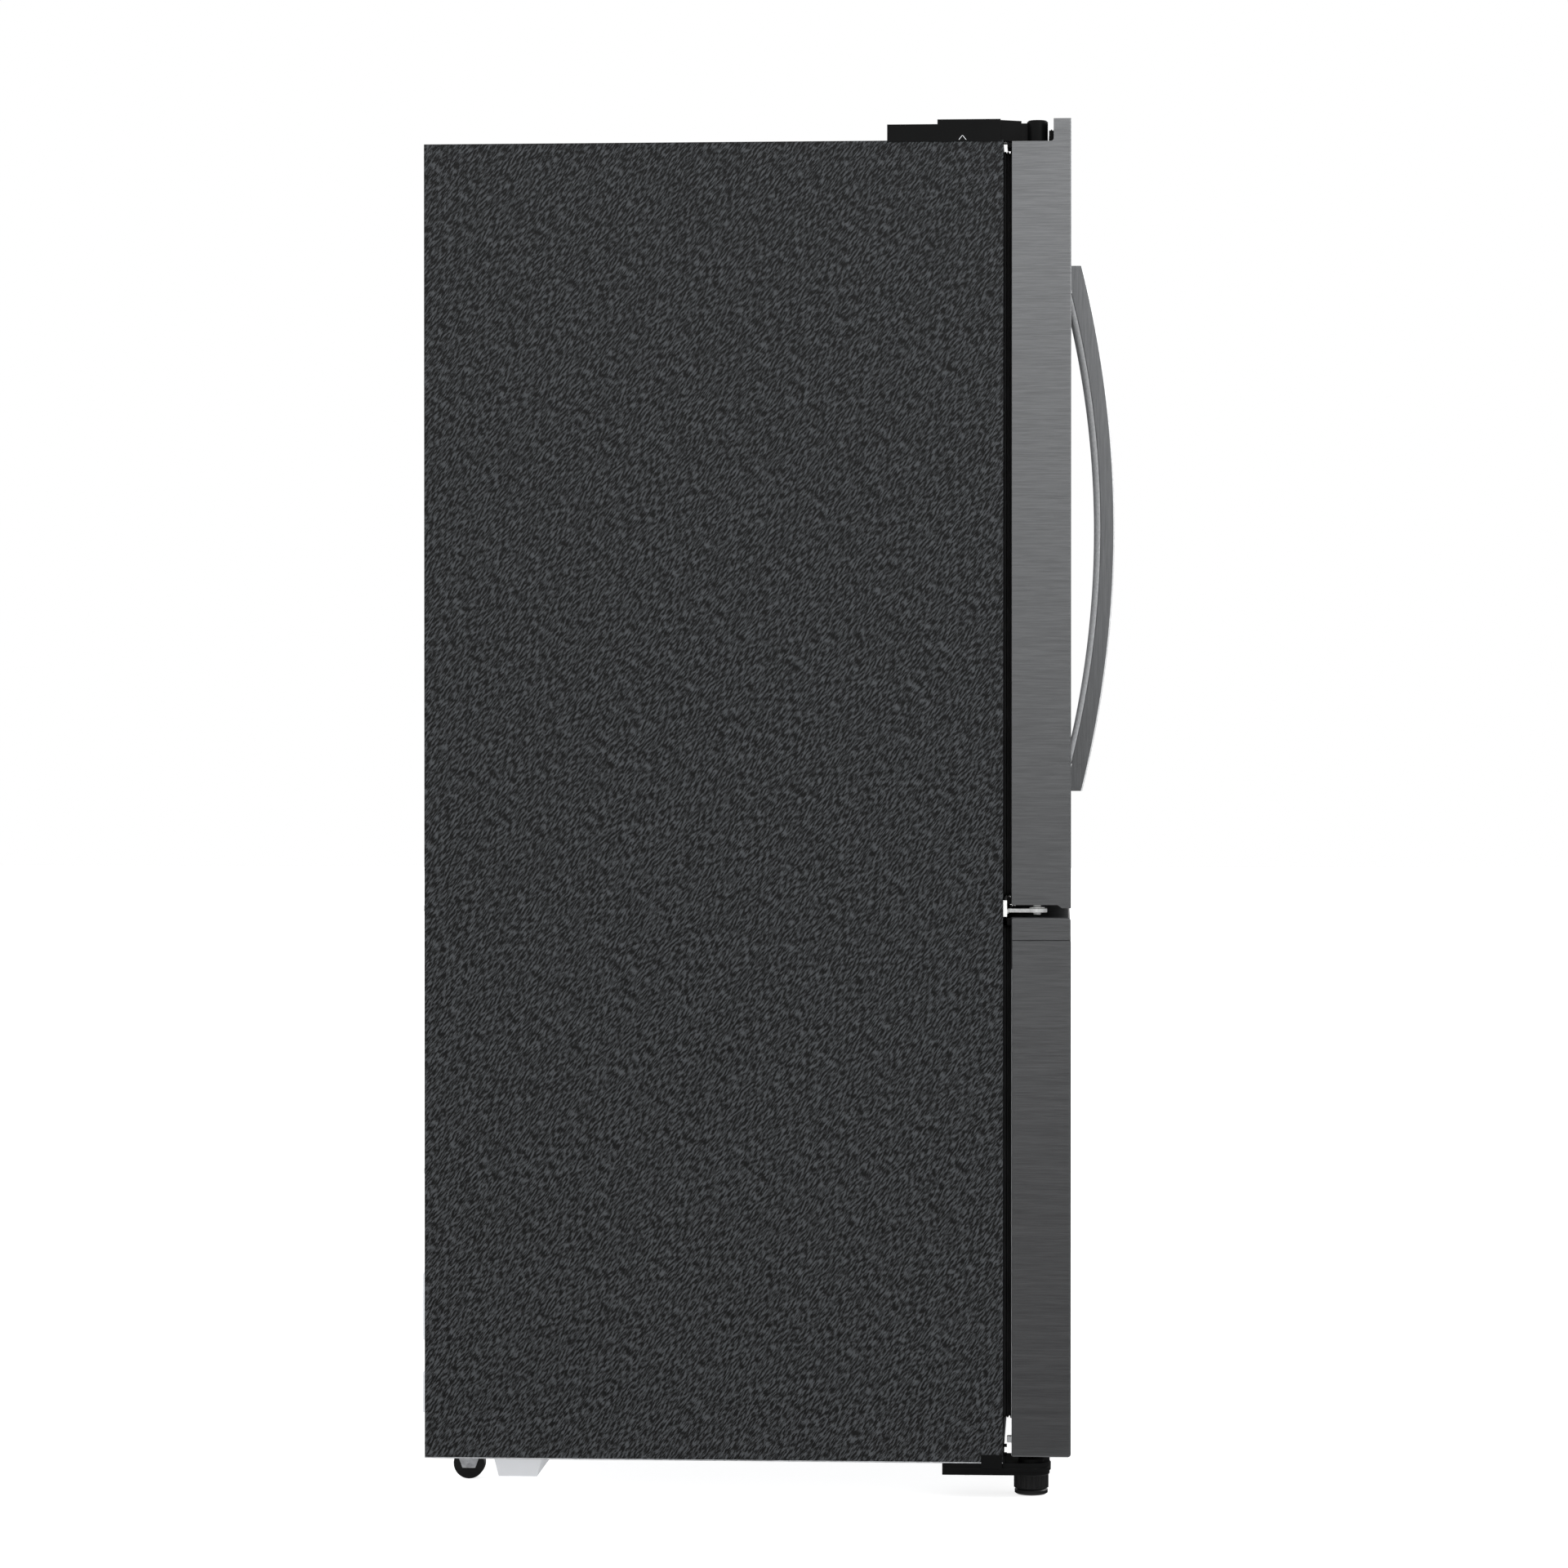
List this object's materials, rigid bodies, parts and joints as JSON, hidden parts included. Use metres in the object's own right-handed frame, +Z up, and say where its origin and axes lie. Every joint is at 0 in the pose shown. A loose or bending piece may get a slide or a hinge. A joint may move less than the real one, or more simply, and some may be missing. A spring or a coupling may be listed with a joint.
{
  "type": "french door refrigerator",
  "caption": "Free-standing refrigerator with paired upper doors on side hinges, curved bar handles, a pull-out freezer drawer below and a charcoal cabinet.",
  "frame": {"origin": "on the floor, at the centre of the bounding box", "axes": "+Z up, the doors face -Y, +X to the right of someone facing the doors"},
  "size_m": [0.832, 0.9059, 1.774],
  "materials": {
    "charcoal_paint": "embossed leather-grain steel, satin",
    "dark_stainless": "horizontally brushed dark stainless",
    "handle_stainless": "brushed along the bar",
    "galvanised": "galvanised, dull",
    "zinc_plate": "zinc plated, satin",
    "black_plastic": "moulded, satin",
    "dark_cap_plastic": "moulded, satin",
    "pale_plastic": "moulded, matt",
    "white_liner": "vacuum-formed, gloss",
    "white_trim": "moulded, gloss",
    "clear_plastic": "clear moulded",
    "shelf_glass": "tempered, clear",
    "gasket_rubber": "extruded, matt",
    "insulation_foam": "rigid foam",
    "compressor_black": "baked paint, satin",
    "bare_aluminium": "mill finish fins",
    "lamp_diffuser": "opal diffuser",
    "slide_steel": "rolled, bright"
  },
  "bodies": {
    "cabinet": {"side_panel_left": "charcoal_paint", "side_panel_right": "charcoal_paint", "top_panel": "charcoal_paint", "back_panel": "galvanised", "base_plate": "galvanised", "front_rails": "galvanised", "fresh_food_liner": "white_liner", "freezer_liner": "white_liner", "foam_core": "insulation_foam", "rear_cover": "pale_plastic", "top_hinge_left": "zinc_plate", "top_hinge_right": "zinc_plate", "hinge_cover_left": "black_plastic", "hinge_cover_right": "black_plastic", "centre_hinge_left": "zinc_plate", "centre_hinge_right": "zinc_plate", "leg_bracket_left": "black_plastic", "leg_bracket_right": "black_plastic", "roller_brackets": "galvanised", "drain_pan": "pale_plastic", "compressor": "compressor_black", "condenser": "bare_aluminium", "evaporator": "bare_aluminium", "freezer_duct": "white_liner", "air_duct_panel": "white_liner", "ceiling_lamp": "lamp_diffuser", "shelf_frames": "white_trim", "shelf_glass": "shelf_glass", "freezer_slides": "slide_steel"},
    "left_door": {"left_door_skin": "dark_stainless", "left_door_caps": "dark_cap_plastic", "left_door_liner": "white_liner", "left_door_foam": "insulation_foam", "left_door_gasket": "gasket_rubber", "left_door_handle": "handle_stainless", "left_door_bins": "clear_plastic"},
    "right_door": {"right_door_skin": "dark_stainless", "right_door_caps": "dark_cap_plastic", "right_door_liner": "white_liner", "right_door_foam": "insulation_foam", "right_door_gasket": "gasket_rubber", "right_door_handle": "handle_stainless", "right_door_bins": "clear_plastic"},
    "mullion_flap": {"mullion_flap": "white_trim"},
    "freezer_drawer": {"drawer_skin": "dark_stainless", "drawer_grip": "dark_cap_plastic", "drawer_foam": "insulation_foam", "drawer_liner": "white_liner", "drawer_gasket": "gasket_rubber", "drawer_rails": "slide_steel", "freezer_basket": "white_trim"},
    "freezer_tray": {"freezer_tray": "clear_plastic"},
    "crisper_left": {"crisper_left": "clear_plastic"},
    "crisper_right": {"crisper_right": "clear_plastic"},
    "leveling_foot_left": {"leveling_foot_left": "black_plastic"},
    "leveling_foot_right": {"leveling_foot_right": "black_plastic"},
    "roller_left": {"roller_left": "black_plastic"},
    "roller_right": {"roller_right": "black_plastic"},
    "condenser_fan": {"condenser_fan": "black_plastic"},
    "evaporator_fan": {"evaporator_fan": "white_trim"}
  },
  "joints": [
    {"name": "left_door_hinge", "type": "hinge", "parent": "cabinet", "child": "left_door", "pos_m": [-0.389, -0.3495, 0.766], "axis": [0, 0, -1], "range_deg": [0, 105]},
    {"name": "right_door_hinge", "type": "hinge", "parent": "cabinet", "child": "right_door", "pos_m": [0.389, -0.3495, 0.766], "axis": [0, 0, 1], "range_deg": [0, 105]},
    {"name": "mullion_flap_hinge", "type": "hinge", "parent": "left_door", "child": "mullion_flap", "pos_m": [-0.018, -0.298, 1.25], "axis": [0, 0, -1], "range_deg": [0, 90]},
    {"name": "freezer_drawer_slide", "type": "slide", "parent": "cabinet", "child": "freezer_drawer", "axis": [0, -1, 0], "range_m": [0, 0.38]},
    {"name": "freezer_tray_slide", "type": "slide", "parent": "cabinet", "child": "freezer_tray", "axis": [0, -1, 0], "range_m": [0, 0.22]},
    {"name": "crisper_left_slide", "type": "slide", "parent": "cabinet", "child": "crisper_left", "axis": [0, -1, 0], "range_m": [0, 0.26]},
    {"name": "crisper_right_slide", "type": "slide", "parent": "cabinet", "child": "crisper_right", "axis": [0, -1, 0], "range_m": [0, 0.26]},
    {"name": "leveling_foot_left_turn", "type": "hinge", "parent": "cabinet", "child": "leveling_foot_left", "pos_m": [-0.35, -0.342, 0.016], "axis": [0, 0, 1], "continuous": true},
    {"name": "leveling_foot_right_turn", "type": "hinge", "parent": "cabinet", "child": "leveling_foot_right", "pos_m": [0.35, -0.342, 0.016], "axis": [0, 0, 1], "continuous": true},
    {"name": "roller_left_spin", "type": "hinge", "parent": "cabinet", "child": "roller_left", "pos_m": [-0.268, 0.402, 0.0205], "axis": [1, 0, 0], "continuous": true},
    {"name": "roller_right_spin", "type": "hinge", "parent": "cabinet", "child": "roller_right", "pos_m": [0.268, 0.402, 0.0205], "axis": [1, 0, 0], "continuous": true},
    {"name": "condenser_fan_spin", "type": "hinge", "parent": "cabinet", "child": "condenser_fan", "pos_m": [-0.018, 0.318, 0.17], "axis": [1, 0, 0], "continuous": true},
    {"name": "evaporator_fan_spin", "type": "hinge", "parent": "cabinet", "child": "evaporator_fan", "pos_m": [0, 0.342, 0.63], "axis": [0, 1, 0], "continuous": true}
  ],
  "couplings": [
    {"joint": "freezer_tray_slide", "follows": "freezer_drawer_slide", "ratio": 0.55},
    {"joint": "crisper_left_slide", "follows": "left_door_hinge", "m_per_rad": 0.14},
    {"joint": "crisper_right_slide", "follows": "right_door_hinge", "m_per_rad": 0.14}
  ]
}
